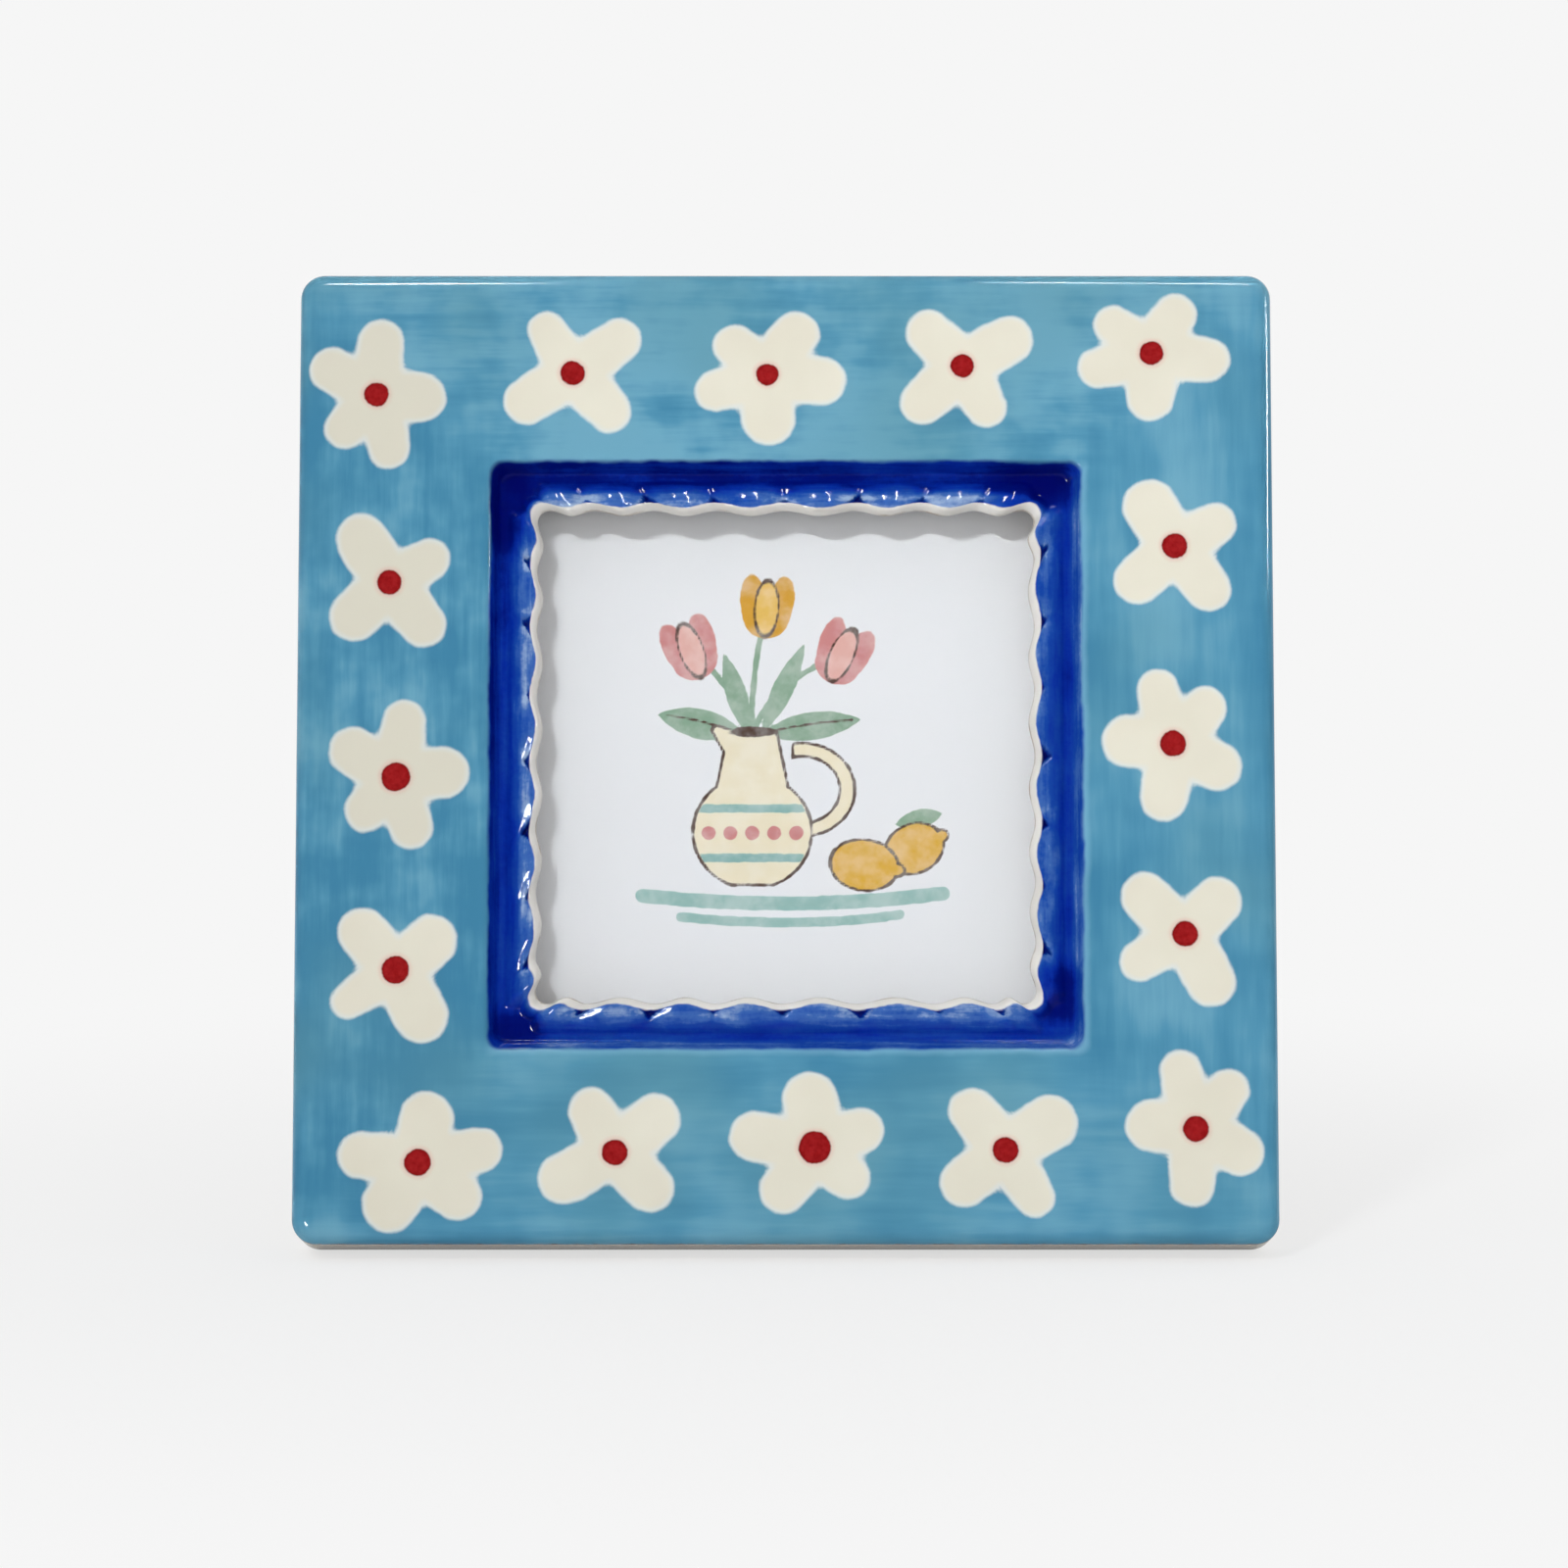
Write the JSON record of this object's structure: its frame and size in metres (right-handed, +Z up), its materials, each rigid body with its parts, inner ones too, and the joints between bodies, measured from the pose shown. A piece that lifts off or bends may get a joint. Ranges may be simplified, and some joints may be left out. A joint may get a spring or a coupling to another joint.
{
  "type": "photo frame",
  "caption": "Square glazed ceramic photo frame with a sunk band, a scalloped window lip, glass, a backing board held by turn buttons and a folding easel strut.",
  "frame": {"origin": "centre of the bounding box on the table, midway between the front of the ceramic and the foot of the strut", "axes": "+Z up from the table, -Y towards the viewer of the picture, +X to the right of that viewer"},
  "size_m": [0.18, 0.076, 0.178],
  "materials": {
    "glaze": "glossy hand-painted glaze: light blue field, cobalt band, cream lip and flowers",
    "glass": "clear, polished",
    "print": "matt coated paper",
    "card": "raw grey card",
    "flocked_board": "fibreboard with dark flocked faces",
    "brassed_steel": "brass-plated steel, satin",
    "zinc_steel": "bright zinc-plated steel",
    "nylon": "natural nylon"
  },
  "bodies": {
    "frame": {"ceramic_frame": "glaze", "glass_pane": "glass", "picture_print": "print", "filler_card": "card", "backing_board": "flocked_board", "hinge_board_leaf": "brassed_steel", "hinge_pin": "brassed_steel", "board_rivet_left": "brassed_steel", "board_rivet_right": "brassed_steel", "button_screw_upper_left": "zinc_steel", "button_screw_upper_right": "zinc_steel", "button_screw_lower_left": "zinc_steel", "button_screw_lower_right": "zinc_steel", "screw_plug_upper_left": "nylon", "screw_plug_upper_right": "nylon", "screw_plug_lower_left": "nylon", "screw_plug_lower_right": "nylon"},
    "strut": {"strut_leg": "flocked_board", "hinge_strut_leaf": "brassed_steel", "strut_rivet_left": "brassed_steel", "strut_rivet_right": "brassed_steel"},
    "button_upper_left": {"turn_button_upper_left": "zinc_steel"},
    "button_upper_right": {"turn_button_upper_right": "zinc_steel"},
    "button_lower_left": {"turn_button_lower_left": "zinc_steel"},
    "button_lower_right": {"turn_button_lower_right": "zinc_steel"}
  },
  "joints": [
    {"name": "strut_hinge", "type": "hinge", "parent": "frame", "child": "strut", "pos_m": [0, 0.01119, 0.12134], "axis": [-1, 0, 0], "range_deg": [0, 26]},
    {"name": "button_turn_upper_left", "type": "hinge", "parent": "frame", "child": "button_upper_left", "pos_m": [-0.0583, 0.00802, 0.11605], "axis": [0, 0.9703, -0.2419], "continuous": true},
    {"name": "button_turn_upper_right", "type": "hinge", "parent": "frame", "child": "button_upper_right", "pos_m": [0.0583, 0.00802, 0.11605], "axis": [0, 0.9703, -0.2419], "continuous": true},
    {"name": "button_turn_lower_left", "type": "hinge", "parent": "frame", "child": "button_lower_left", "pos_m": [-0.0583, -0.0065, 0.05783], "axis": [0, 0.9703, -0.2419], "continuous": true},
    {"name": "button_turn_lower_right", "type": "hinge", "parent": "frame", "child": "button_lower_right", "pos_m": [0.0583, -0.0065, 0.05783], "axis": [0, 0.9703, -0.2419], "continuous": true}
  ]
}
